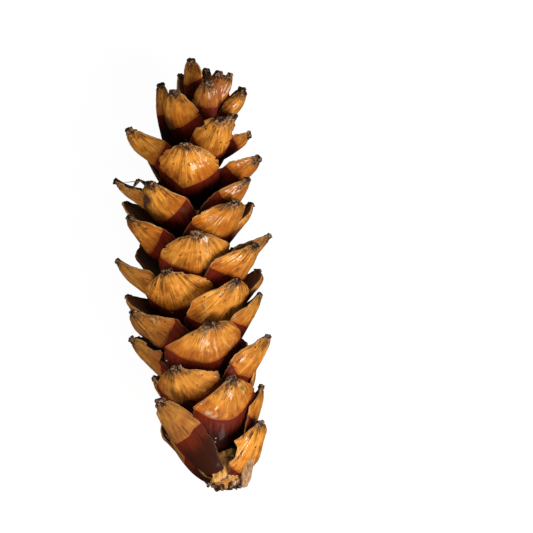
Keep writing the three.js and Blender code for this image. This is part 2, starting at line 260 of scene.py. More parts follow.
# Bites out of the rim: the scale's number, its side, the share of the length, and depth and half
# width in millimetres
BITES = (
    (26, 1, 0.93, 1.6, 1.1), (26, 1, 0.86, 1.0, 0.7), (31, -1, 0.94, 1.4, 1.0), (31, 1, 0.97, 0.9, 0.8),
    (39, -1, 0.8, 1.2, 1.4), (34, 1, 0.93, 1.1, 1.2), (44, -1, 0.9, 0.8, 0.8), (23, -1, 0.9, 1.2, 1.2),
    (18, -1, 0.92, 0.9, 0.9), (13, 1, 0.9, 1.0, 1.0), (10, 1, 0.96, 1.2, 1.0), (49, -1, 0.8, 1.2, 1.4),
    (42, 1, 0.82, 2.2, 1.5), (21, 1, 0.9, 1.3, 1.2), (15, -1, 0.88, 0.9, 1.0), (8, -1, 0.9, 0.8, 0.9),
    (36, 1, 0.9, 0.8, 1.0), (28, -1, 0.9, 1.0, 1.1), (54, 1, 0.85, 1.2, 1.0), (16, 1, 0.78, 2.0, 2.0),
    (16, 1, 0.55, 3.0, 3.4), (16, -1, 0.7, 1.6, 3.0),
    (2, -1, 0.78, 1.6, 2.6), (2, -1, 0.5, 2.8, 3.6), (2, 1, 0.6, 1.6, 2.4), (2, -1, 0.92, 1.0, 0.9),
)


def smooth(x):
    return x * x * (3 - 2 * x)


def clamped(x):
    return min(1, max(0, x))


def past(x, start):
    """How far x is on the way from a start to 1, from 0 to 1."""
    return max(0, (x - start) / (1 - start))


def between(stops, t):
    """A value that changes smoothly between the (place, value) stops of a list."""
    if t <= stops[0][0]:
        return stops[0][1]
    for (start, low), (end, high) in zip(stops, stops[1:]):
        if t <= end:
            return low + (high - low) * smooth((t - start) / (end - start))
    return stops[-1][1]


def differences(number):
    """One scale's own differences: a repeatable draw from -1 to 1 for each, times its size."""
    drawn = {}
    for order, (name, size) in enumerate(VARY):
        wave = math.sin((number + 1) * DRAW_WAVES[0] + (order + 1) * DRAW_WAVES[1]) * DRAW_SPREAD
        drawn[name] = size * (2 * (wave - math.floor(wave)) - 1)
    return drawn


def axis_at(distance):
    """The middle of the axis at a distance from the stem, with its forward, side and up directions."""
    share = distance / AXIS_LENGTH
    middle = Vector((
        -4 * AXIS_BOW * share * (1 - share) - CONE_MIDDLE[0],
        distance - CONE_MIDDLE[1],
        AXIS_HEIGHT + AXIS_TIP_RISE * share,
    ))
    bow_slope = -4 * AXIS_BOW * (1 - 2 * share) / AXIS_LENGTH
    forward = Vector((bow_slope, 1, AXIS_TIP_RISE / AXIS_LENGTH)).normalized()
    side = forward.cross(Vector((0, 0, 1))).normalized()
    up = side.cross(forward)
    return middle, forward, side, up


def scale_places():
    """Every scale's place on the axis, in millimetres from the stem."""
    steps = [between(SPACING, number / (SCALE_COUNT - 1)) for number in range(SCALE_COUNT)]
    total = sum(steps)
    places = []
    reached = 0
    for step in steps:
        reached += step
        places.append((reached - step / 2) / total * AXIS_LENGTH)
    return places


PLACES = scale_places()


class Blade:
    """One scale's sizes, angles and middle line, by the rule for its place and its own differences."""

    def __init__(self, number):
        t = number / (SCALE_COUNT - 1)
        own_stand = OWN_STAND.get(number, PLAIN_STAND)
        own_turn, own_rise, own_opening, own_length, own_width, own_lean = own_stand
        vary = differences(number)
        turns = (number - KNOWN_SCALE) * TURN_PER_SCALE
        self.number = number
        self.turn = math.radians(KNOWN_TURN + turns + vary["turn"] + own_turn)
        even_opening = between(SCALE_OPENING, t) - OPENING_TOWARDS_BOW * math.sin(self.turn)
        self.opening = even_opening + vary["opening"] + own_opening
        self.place = max(LOWEST_PLACE, PLACES[number] + vary["rise"] + own_rise)
        self.length = between(SCALE_LENGTH, t) * (1 + vary["length"]) * own_length
        self.half_width = between(SCALE_WIDTH, t) / 2 * (1 + vary["width"]) * own_width
        self.neck_width = between(NECK_WIDTH, t)
        self.root_angle = between(ROOT_ANGLE, t)
        self.root_ends = between(ROOT_BEND_ENDS, t)
        self.thickness = between(SCALE_THICKNESS, t)
        self.twist = math.radians(vary["twist"] + OWN_TWIST.get(number, 0))
        self.lean = vary["lean"] + own_lean
        self.tip_bend = TIP_BEND + vary["tip_bend"]
        self.cup_radius = self.half_width / math.radians(CUP_ANGLE)
        self.root = between(AXIS_RADIUS, self.place / AXIS_LENGTH) * ROOT_DEPTH
        self.middle, self.forward, side, up = axis_at(self.place)
        self.outward = side * math.sin(self.turn) + up * math.cos(self.turn)
        self.across = side * math.cos(self.turn) - up * math.sin(self.turn)
        self.lay_line()
        self.press_on_table()

    def bend_at(self, u):
        """The angle of the middle line out from the axis, at a share of the length."""
        root = max(0, 1 - u / self.root_ends) ** 2
        inward = INWARD_CURVE * (EVEN_AT - u) * (1 - root)
        tip = self.tip_bend * past(u, TIP_BEND_STARTS) ** 2
        return math.radians(self.opening + (self.root_angle - self.opening) * root + inward + tip)

    def lay_line(self):
        """The middle line in the plane through the axis: distance out, distance along and angle."""
        step = self.length / LINE_STEPS
        out, along = self.root, 0
        self.line = [(out, along, self.bend_at(0))]
        for i in range(1, LINE_STEPS + 1):
            angle = self.bend_at((i - 0.5) / LINE_STEPS)
            out += step * math.sin(angle)
            along += step * math.cos(angle)
            self.line.append((out, along, self.bend_at(i / LINE_STEPS)))

    def half_width_at(self, u, power=TIP_POWER):
        """Half the width at a share of the length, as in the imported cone."""
        if u < WIDEST_AT:
            return self.half_width * (self.neck_width + (1 - self.neck_width) * smooth(u / WIDEST_AT))
        narrowing = max(0, 1 - past(u, WIDEST_AT) ** power) ** TIP_BLUNTNESS
        return TIP_HALF_WIDTH + (self.half_width - TIP_HALF_WIDTH) * narrowing

    def half_depth_at(self, u, v):
        """Half the thickness, from the neck's thick middle to the thin rim."""
        thinning = 1 - TIP_THINNING * smooth(past(u, THINNING_STARTS))
        return (RIM_THICKNESS + (self.thickness * thinning - RIM_THICKNESS) * (1 - v * v)) / 2

    def point(self, u, across, depth):
        """A point at a share of the length, millimetres across, and a depth outwards."""
        step = min(LINE_STEPS - 1, int(u * LINE_STEPS))
        part = u * LINE_STEPS - step
        out, along, angle = (a + (b - a) * part for a, b in zip(self.line[step], self.line[step + 1]))
        inward = self.forward * math.sin(angle) - self.outward * math.cos(angle)
        cup_turn = across / self.cup_radius
        flat = (self.cup_radius + depth) * math.sin(cup_turn)
        raised = self.cup_radius - (self.cup_radius + depth) * math.cos(cup_turn)
        twist = self.twist * u
        sideways = flat * math.cos(twist) - raised * math.sin(twist) + self.lean * self.length * u * u
        inwards = flat * math.sin(twist) + raised * math.cos(twist)
        spine = self.middle + self.outward * out + self.forward * along
        return spine + self.across * sideways + inward * inwards

    def lowest(self):
        """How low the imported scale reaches, from some points of its outer face."""
        heights = []
        for u in TRIED_ALONG:
            half = self.half_width_at(u)
            for v in TRIED_ACROSS:
                relief = KEEL * (1 - abs(v)) * smooth(u) + BOSS * past(u, BOSS_STARTS)
                heights.append(self.point(u, v * half, self.half_depth_at(u, v) + relief).z)
        return min(heights)

    def press_on_table(self):
        """The table closes a scale underneath until only its flat spot would reach below it."""
        while self.lowest() < -FLAT_DEPTH:
            self.opening -= PRESS_STEP
            self.lay_line()


def crowded(x):
    """Spreads even steps from -1 to 1 so that they crowd towards both ends."""
    return (1 - RIM_CROWDING) * x + RIM_CROWDING * math.sin(x * math.pi / 2)


def rounded(distance, radius):
    """The share of the full thickness that close to a rounded rim."""
    inside = clamped(distance / radius)
    return math.sqrt(max(0, 1 - (1 - inside) ** 2))


def uneven(x, y, seed):
    return noise.noise(Vector((x, y, seed * 7.31)))


def size_setting(name, description, default, most, least=0):
    """A size in millimetres."""
    words = description + ", in millimetres"
    return FloatProperty(name=name, description=words, default=default, min=least, max=most)


def colour_setting(name, description, default):
    """A linear colour."""
    limits = {"min": 0, "max": 1}
    return FloatVectorProperty(
        name=name, description=description, default=default, subtype="COLOR", **limits
    )


def power_setting(name, description, default):
    """The power of a light."""
    return FloatProperty(name=name, description=description, default=default, min=0, unit="POWER")


class ConeShape(bpy.types.PropertyGroup):
    """Sizes of the fine scales that a user would change."""

    umbo_length: size_setting(
        "Umbo length", "How far the crusted tip of a scale stands beyond its shoulders", 1.1, most=3
    )
    umbo_half_width: size_setting(
        "Umbo half width", "Half the width of the crusted tip", 2.3, most=3, least=0.5
    )
    crust_reach: size_setting("Crust reach", "How far the crust spreads from the tip", 3.0, most=6)
    crust_height: size_setting("Crust height", "How rough the crust is", 0.65, most=1)
    rib_height: size_setting(
        "Rib height", "Height of the ribs that fan out from the tip", 0.38, most=0.5
    )
    fold_height: size_setting("Fold height", "How uneven the broad faces of a scale are", 0.4, most=1)
    facet_height: size_setting(
        "Facet height", "How high the broad folds are that fan out from the tip", 0.75, most=1.5
    )
    keel_height: size_setting(
        "Keel height", "Height of the ridge down the middle of the narrow scales", 0.7, most=1.5
    )
    corners: FloatProperty(
        name="Corners",
        description="How far the shoulders of a scale are cornered instead of round",
        default=0.55,
        min=0,
        max=1,
        subtype="FACTOR",
    )
    rim_wave: FloatProperty(
        name="Rim wave",
        description="How far the rim wanders from an even outline, as a share of the half width",
        default=0.08,
        min=0,
        max=0.2,
        subtype="FACTOR",
    )
    rim_radius: size_setting("Rim radius", "How far the rim is rounded", 0.5, most=1, least=0.1)


class ConeColours(bpy.types.PropertyGroup):
    """Colours of the varnished scales that a user would change."""

    shield_light: colour_setting(
        "Shield, light", "The golden tan of a scale's shield", (0.71, 0.28, 0.036)
    )
    shield_deep: colour_setting(
        "Shield, deep", "The orange brown of a scale's shield", (0.42, 0.11, 0.009)
    )
    # The two covered-part colours are mixed by the wood's own lines and by painted shade away from the
    # shield line
    hidden_light: colour_setting(
        "Covered part, light",
        "The red brown of the part that the next scale covered",
        (0.12, 0.012, 0.005),
    )
    hidden_deep: colour_setting(
        "Covered part, deep",
        "The dark mahogany of the part that the next scale covered",
        (0.022, 0.003, 0.002),
    )
    crust_light: colour_setting(
        "Crust, light", "The dry grey brown of the crusted tips", (0.38, 0.23, 0.13)
    )
    crust_deep: colour_setting(
        "Crust, deep", "The dark cracks of the crusted tips", (0.02, 0.009, 0.006)
    )
    inner_light: colour_setting(
        "Inner face, light", "The dull brown of the inner faces", (0.30, 0.14, 0.04)
    )
    inner_deep: colour_setting(
        "Inner face, deep", "The dark olive brown of the inner faces", (0.08, 0.03, 0.009)
    )


class ConeStage(bpy.types.PropertyGroup):
    """The table, the lights and the camera."""

    camera_height: FloatProperty(
        name="Camera height",
        description="How far the camera is above the cone's axis",
        default=2.5,
        min=0.2,
        unit="LENGTH",
    )
    picture_width: FloatProperty(
        name="Picture width",
        description="What the picture's width shows at the height of the axis",
        default=0.18753,
        min=0.05,
        unit="LENGTH",
    )
    camera_roll: FloatProperty(
        name="Camera roll",
        description="How far the cone leans over in the picture",
        default=math.radians(-4.1),
        unit="ROTATION",
    )
    table_colour: colour_setting(
        "Table colour",
        "What the white light table gives back of the lamps, beside its own glow",
        (0.12, 0.12, 0.12),
    )
    table_glow: FloatProperty(
        name="Table glow",
        description="How strongly the light table shines by itself",
        default=0.93,
        min=0,
    )
    key_power: power_setting("Key light", "Power of the large soft light", 6.3)
    top_power: power_setting("Top light", "Power of the wide light above the camera", 1.8)
    fill_power: power_setting("Fill light", "Power of the weak light on the other side", 3.5)
    glint_power: power_setting(
        "Glint light", "Power of the low light on the right, which shows in the varnish", 2.6
    )
    low_glint_power: power_setting(
        "Low glint light", "Power of the low light on the stem's side, which shows in the varnish", 0.8
    )
    room_light: FloatProperty(
        name="Room light",
        description="Strength of the even light from all round",
        default=0.035,
        min=0,
    )


def blade_outline(blade, u, side, shape):
    """Half the width at u on one side, with the umbo as a knob beyond cornered, ragged shoulders."""
    shoulders = 1 - shape.umbo_length / blade.length
    umbo = min(shape.umbo_half_width, WIDEST_UMBO * blade.half_width)
    if u >= shoulders:
        return umbo * (1 - 0.35 * past(u, shoulders) ** 2)
    share = u / shoulders
    half = blade.half_width_at(share, OWN_NARROWING.get(blade.number, TIP_POWER))
    seed = blade.number + 0.37 * side
    straight = min(1, SHOULDER_SLOPE * (1 - past(share, WIDEST_AT)))
    cornered = TIP_HALF_WIDTH + (blade.half_width - TIP_HALF_WIDTH) * straight
    if share > WIDEST_AT:
        own_corners = 1 + CORNERS_VARY * uneven(seed * 1.7, 0.3, 3)
        if blade.number in ROUND_SCALES:
            own_corners = ROUND_CORNERS
        half += (cornered - half) * clamped(shape.corners * own_corners)
    wave = uneven(u * RIM_WAVES[0], side * 3.1, seed)
    wave += 0.45 * uneven(u * RIM_WAVES[1], side * 5.7, seed + 40)
    nick = max(0, uneven(u * RIM_NICKS, side * 9.3, seed + 80) - 0.15)
    reach = smooth(clamped((u - 0.3) / 0.4)) * clamped((half - umbo) / 2)
    half *= 1 + shape.rim_wave * reach * (wave - 2.2 * nick)
    for number, bitten_side, place, depth, spread in BITES:
        if number == blade.number and bitten_side == side:
            away = abs(u - place) * blade.length / spread
            half -= min(depth, half - TIP_HALF_WIDTH) * smooth(clamped(1.4 - away))
    return half


def shield_line(number):
    """The lower line of a scale's shield: lowest point along and across, both rises, and roundness."""
    if number in OWN_SHIELD:
        return OWN_SHIELD[number]
    lowest, across, left, right, roundness = SHIELD
    along_varies, across_varies = SHIELD_VARIES
    lowest += along_varies * math.sin(number * 2.4)
    across += across_varies * math.sin(number * 3.7)
    return lowest, across, left, right, roundness


def shield_edge(blade, u, v):
    """How far inside the tan shield a place is, in millimetres along the scale."""
    lowest, across, left, right, roundness = shield_line(blade.number)
    rise = right if v > across else left
    away = (v - across) / (1 - across) if v > across else (across - v) / (1 + across)
    starts = lowest + rise * away ** roundness
    return (u - starts + 0.014 * uneven(v * 3, 0, blade.number)) * blade.length


def marks_at(blade, u, v, half):
    """How dark, green grey or pale a mark makes a place on a scale."""
    found = Vector((0, 0, 0))
    for number, place, side, along, across, kind in MARKS:
        if number == blade.number:
            away = math.hypot((u - place) * blade.length / along, (v - side) * half / across)
            away += 0.5 * uneven(u * 40, v * 20, number)
            found += Vector(kind) * smooth(clamped(1.5 - away))
    return found


def blade_surface(blade, u, v, face, shape):
    """One point of a fine scale, with the values that its finish reads there."""
    side = 1 if v > 0 else -1
    half = blade_outline(blade, u, side, shape)
    across = v * half
    below = (1 - u) * blade.length
    seed = blade.number
    woody = OWN_TONE.get(seed, PLAIN_TONE)[3]
    to_rim = min(half * (1 - abs(v)), below)
    to_tip = math.hypot(across * 0.8 / OWN_CRUST.get(seed, 1), below)
    # Painted shade towards the root, deep between the scales; none where the roots by the stem lie open
    painted_root_shade = smooth(clamped((DARKENS_FROM - u) / (DARKENS_FROM - DARKEST_FROM)))
    painted_root_shade *= clamped(blade.place / OPEN_ROOTS)
    reach = 1.35 - to_tip / shape.crust_reach + 0.75 * uneven(across * 1.1, below * 1.3, seed)
    crust = smooth(clamped(reach)) * (1 - woody)
    shield = shield_edge(blade, u, v)

    fan = math.atan2(across, below + 4.5)
    in_shield = clamped(shield / 3) * (1 - crust) * clamped(to_rim / 1.2)
    ribs = uneven(fan * 7, below * 0.09, seed) + 0.6 * uneven(fan * 15, below * 0.12, seed + 20)
    facets = uneven(fan * 2.6, below * 0.03, seed + 90) * clamped(below / 4) * clamped(shield / 8)
    folds = uneven(across * 0.16, below * 0.07, seed + 60) * smooth(clamped(u / 0.4))
    crags = noise.noise(Vector((across * 1.1, below * 1.1, seed * 3.3)))
    crags += 0.7 * noise.noise(Vector((across * 2.6, below * 2.6, seed * 5.1 + face)))

    rim = rounded(to_rim, shape.rim_radius)
    knob = smooth(clamped(1 - abs(across) / 3.2))
    narrow = clamped((9 - blade.half_width) / 3)
    lowest, bend = shield_line(seed)[:2]
    keel_at = bend * min(1, (1 - u) / (1 - lowest))
    ridge = 1 - abs(v - keel_at) / (1 + abs(keel_at))
    depth = blade.half_depth_at(u, v)
    if face > 0:
        depth += (KEEL + shape.keel_height * (0.6 + 0.4 * narrow)) * ridge * smooth(u) * (1 - crust)
        depth += BOSS * past(u, BOSS_STARTS) * knob
        depth += (shape.rib_height * ribs + shape.facet_height * facets) * in_shield
    depth += shape.crust_height * crags * crust
    point = blade.point(u, across, face * depth * rim + shape.fold_height * folds)
    point.z = max(0, point.z)
    return {
        "point": point * MM,
        "scale_place": Vector((across / 10, below / 10, max(0, face))),
        "scale_tone": Vector((seed * 1.37, shield / 10, crust)),
        "scale_look": Vector((1 - clamped(to_rim / 1.2), painted_root_shade, woody)),
        "scale_mark": marks_at(blade, u, v, half),
    }


# The values that every point of a fine scale carries for its finish
SURFACE_VALUES = ("scale_place", "scale_tone", "scale_look", "scale_mark")


def face_outwards(bm, faces):
    """Turns the faces of one closed shell outwards: all one way, so that its volume is positive."""
    bmesh.ops.recalc_face_normals(bm, faces=faces)
    volume = 0
    for face in faces:
        corner, *others = (vert.co for vert in face.verts)
        volume += sum(corner.dot(one.cross(two)) for one, two in zip(others, others[1:]))
    if volume < 0:
        bmesh.ops.reverse_faces(bm, faces=faces)


def add_scale(bm, number, shape):
    """A grid with a copy of itself on top, joined all round and bent into one scale."""
    blade = Blade(number)
    columns = min(MOST_COLUMNS, max(FEWEST_COLUMNS, 2 * round(blade.half_width / FACE_WIDTH)))
    rows = min(MOST_ROWS, max(FEWEST_ROWS, round(blade.length / FACE_LENGTH)))
    first_vert = len(bm.verts)
    first_face = len(bm.faces)
    bmesh.ops.create_grid(bm, x_segments=columns, y_segments=rows, size=1)
    bm.faces.ensure_lookup_table()
    sheet = bm.faces[first_face:]
    copy = bmesh.ops.extrude_face_region(bm, geom=sheet, use_keep_orig=True)
    raised = [part for part in copy["geom"] if isinstance(part, bmesh.types.BMVert)]
    bmesh.ops.translate(bm, verts=raised, vec=(0, 0, 1))
    bm.verts.ensure_lookup_table()
    layers = {name: bm.verts.layers.float_vector[name] for name in SURFACE_VALUES}
    own_tone = OWN_TONE.get(number, PLAIN_TONE)
    own_layer = bm.verts.layers.float_vector["scale_own"]
    for vert in bm.verts[first_vert:]:
        v = crowded(vert.co.x)
        step = (vert.co.y + 1) / 2
        u = step * (1 + TIP_CROWDING * (1 - step))
        face = 1 if vert.co.z > 0.5 else -1
        surface = blade_surface(blade, u, v, face, shape)
        vert.co = surface["point"]
        for name, layer in layers.items():
            vert[layer] = surface[name]
        vert[own_layer] = Vector(own_tone[:3])
    bm.faces.ensure_lookup_table()
    face_outwards(bm, bm.faces[first_face:])


def finished_piece(bm, name, material):
    """Makes an object of closed shells, shades it smooth and lets it ride on the cone."""
    for face in bm.faces:
        face.smooth = True
    mesh = bpy.data.meshes.new(name)
    bm.to_mesh(mesh)
    bm.free()
    mesh.materials.append(material)
    piece = bpy.data.objects.new(name, mesh)
    bpy.context.scene.collection.objects.link(piece)
    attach(piece, CONE_BODY)
    return piece


class Wiring:
    """Adds nodes to one node tree and joins them."""

    def __init__(self, tree):
        self.tree = tree

    def node(self, kind, inputs=None, **settings):
        made = self.tree.nodes.new(kind)
        for name, value in settings.items():
            setattr(made, name, value)
        for name, value in (inputs or {}).items():
            self.feed(made.inputs[name], value)
        return made

    def feed(self, socket, value):
        if isinstance(value, bpy.types.NodeSocket):
            self.tree.links.new(value, socket)
        else:
            socket.default_value = value

    def math(self, operation, first, second=0.0, clamp=False):
        inputs = {0: first, 1: second}
        return self.node("ShaderNodeMath", inputs, operation=operation, use_clamp=clamp).outputs[0]

    def mask(self, value, start, end, low=0.0, high=1.0):
        """A smooth step of a value between two places."""
        inputs = {"Value": value, "From Min": start, "From Max": end, "To Min": low, "To Max": high}
        settings = {"interpolation_type": "SMOOTHSTEP"}
        return self.node("ShaderNodeMapRange", inputs, **settings).outputs["Result"]

    def mix(self, factor, first, second, blend="MIX"):
        """Mixes two colours."""
        made = self.node("ShaderNodeMix", {0: factor}, data_type="RGBA", blend_type=blend)
        self.feed(made.inputs[6], first)
        self.feed(made.inputs[7], second)
        return made.outputs[2]

    def tinted(self, under, tint, mask, strength=1.0):
        """A colour with another laid over it where the mask is, at a strength."""
        return self.mix(self.math("MULTIPLY", mask, strength), under, (*tint, 1.0))

    def noise(self, vector, scale, detail=3.0, roughness=0.5, distortion=0.0):
        inputs = {
            "Vector": vector,
            "Scale": scale,
            "Detail": detail,
            "Roughness": roughness,
            "Distortion": distortion,
        }
        return self.node("ShaderNodeTexNoise", inputs).outputs["Fac"]

    def vector(self, x, y, z=0.0):
        return self.node("ShaderNodeCombineXYZ", {"X": x, "Y": y, "Z": z}).outputs[0]

    def parts(self, vector):
        split = self.node("ShaderNodeSeparateXYZ", {"Vector": vector})
        return split.outputs["X"], split.outputs["Y"], split.outputs["Z"]

    def attribute(self, name):
        """The three parts of one of the piece's own attributes."""
        return self.parts(self.node("ShaderNodeAttribute", attribute_name=name).outputs["Vector"])


def new_group(name, inputs, outputs):
    """An empty node group with named sockets, its wiring, and its two ends."""
    group = bpy.data.node_groups.new(name, "ShaderNodeTree")
    for socket_name, kind, value in inputs:
        socket = group.interface.new_socket(name=socket_name, in_out="INPUT", socket_type=kind)
        if value is not None:
            socket.default_value = value
    for socket_name, kind in outputs:
        group.interface.new_socket(name=socket_name, in_out="OUTPUT", socket_type=kind)
    wiring = Wiring(group)
    start = wiring.node("NodeGroupInput")
    end = wiring.node("NodeGroupOutput")
    return group, wiring, start.outputs, end


def fan_ribs():
    """Ribs and dark streaks that fan out from the tip of a scale."""
    if "Fan_ribs" in bpy.data.node_groups:
        return bpy.data.node_groups["Fan_ribs"]
    group, wire, given, end = new_group(
        "Fan_ribs",
        [
            ("Across", "NodeSocketFloat", 0.0),
            ("Below", "NodeSocketFloat", 0.0),
            ("Seed", "NodeSocketFloat", 0.0),
        ],
        [
            ("Ribs", "NodeSocketFloat"),
            ("Streaks", "NodeSocketFloat"),
            ("Fibres", "NodeSocketFloat"),
            ("Wrinkles", "NodeSocketFloat"),
        ],
    )
    below = wire.math("ADD", given["Below"], 0.45)
    fan = wire.math("ARCTAN2", given["Across"], below)
    slow = wire.math("MULTIPLY", given["Below"], 0.3)
    ribs_at = wire.vector(wire.math("MULTIPLY", fan, 2.3), slow, given["Seed"])
    even_ribs = wire.noise(ribs_at, 4.0, 3.0, 0.6, 0.25)
    patches_at = wire.vector(given["Across"], given["Below"], wire.math("ADD", given["Seed"], 3.3))
    patches = wire.mask(wire.noise(patches_at, 2.4, 1.0), 0.38, 0.62, 0.35, 1.0)
    ribs = wire.math("ADD", wire.math("MULTIPLY", wire.math("SUBTRACT", even_ribs, 0.5), patches), 0.5)
    slower = wire.math("MULTIPLY", given["Below"], 0.12)
    fibres_at = wire.vector(wire.math("MULTIPLY", fan, 8.0), slower, given["Seed"])
    fibres = wire.noise(fibres_at, 9.0, 3.0, 0.6, 0.1)
    streaks_seed = wire.math("ADD", given["Seed"], 7.7)
    streaks_at = wire.vector(wire.math("MULTIPLY", fan, 5.0), slower, streaks_seed)
    streaks = wire.noise(streaks_at, 5.5, 3.0, 0.55, 0.1)
    near_tip = wire.mask(given["Below"], 0.1, 0.8, 0.17, -0.03)
    streaky = wire.mask(wire.noise(patches_at, 3.1, 2.0), 0.36, 0.62, 0.12, -0.08)
    dark = wire.mask(wire.math("ADD", wire.math("ADD", streaks, near_tip), streaky), 0.58, 0.78)
    wrinkled = wire.math("MULTIPLY", given["Below"], 0.65)
    wrinkles_seed = wire.math("ADD", given["Seed"], 1.9)
    wrinkles_at = wire.vector(wire.math("MULTIPLY", fan, 2.6), wrinkled, wrinkles_seed)
    wrinkles = wire.noise(wrinkles_at, 4.6, 2.0, 0.5, 0.5)
    wire.feed(end.inputs["Ribs"], ribs)
    wire.feed(end.inputs["Fibres"], fibres)
    wire.feed(end.inputs["Streaks"], dark)
    wire.feed(end.inputs["Wrinkles"], wrinkles)
    return group


def varnish_ripple():
    """The slight waves and runs of a thick coat of varnish."""
    if "Varnish_ripple" in bpy.data.node_groups:
        return bpy.data.node_groups["Varnish_ripple"]
    group, wire, given, end = new_group(
        "Varnish_ripple",
        [("Vector", "NodeSocketVector", None), ("Size", "NodeSocketFloat", 1.0)],
        [("Height", "NodeSocketFloat")],
    )
    spread = wire.node("ShaderNodeVectorMath", {0: given["Vector"]}, operation="SCALE")
    wire.feed(spread.inputs["Scale"], given["Size"])
    waves = wire.noise(spread.outputs[0], 420.0, 2.0, 0.45, 0.6)
    runs = wire.noise(spread.outputs[0], 120.0, 1.0, 0.4, 0.3)
    wire.feed(end.inputs["Height"], wire.math("ADD", wire.math("MULTIPLY", waves, 0.5), runs))
    return group


def fine_specks():
    """Sparse pin pricks of dirt under the varnish."""
    if "Fine_specks" in bpy.data.node_groups:
        return bpy.data.node_groups["Fine_specks"]
    group, wire, given, end = new_group(
        "Fine_specks",
        [
            ("Vector", "NodeSocketVector", None),
            ("Scale", "NodeSocketFloat", 400.0),
            ("Radius", "NodeSocketFloat", 0.12),
            ("Share", "NodeSocketFloat", 0.2),
        ],
        [("Mask", "NodeSocketFloat")],
    )
    cells = wire.node("ShaderNodeTexVoronoi", {"Vector": given["Vector"], "Scale": given["Scale"]})
    near = wire.math("LESS_THAN", cells.outputs["Distance"], given["Radius"])
    chosen = wire.parts(cells.outputs["Color"])[0]
    picked = wire.math("LESS_THAN", chosen, given["Share"])
    wire.feed(end.inputs["Mask"], wire.math("MULTIPLY", near, picked))
    return group


def placed(wire, group, inputs):
    """A shared group in a material's tree, with its own values."""
    node = wire.node("ShaderNodeGroup", node_tree=group)
    for name, value in inputs.items():
        wire.feed(node.inputs[name], value)
    return node.outputs


def colour(value):
    return (*value, 1.0)


def new_material(name):
    material = bpy.data.materials.new(name)
    material.use_nodes = True
    material.node_tree.nodes.clear()
    wire = Wiring(material.node_tree)
    shader = wire.node("ShaderNodeBsdfPrincipled")
    output = wire.node("ShaderNodeOutputMaterial")
    wire.feed(output.inputs["Surface"], shader.outputs["BSDF"])
    return material, wire, shader


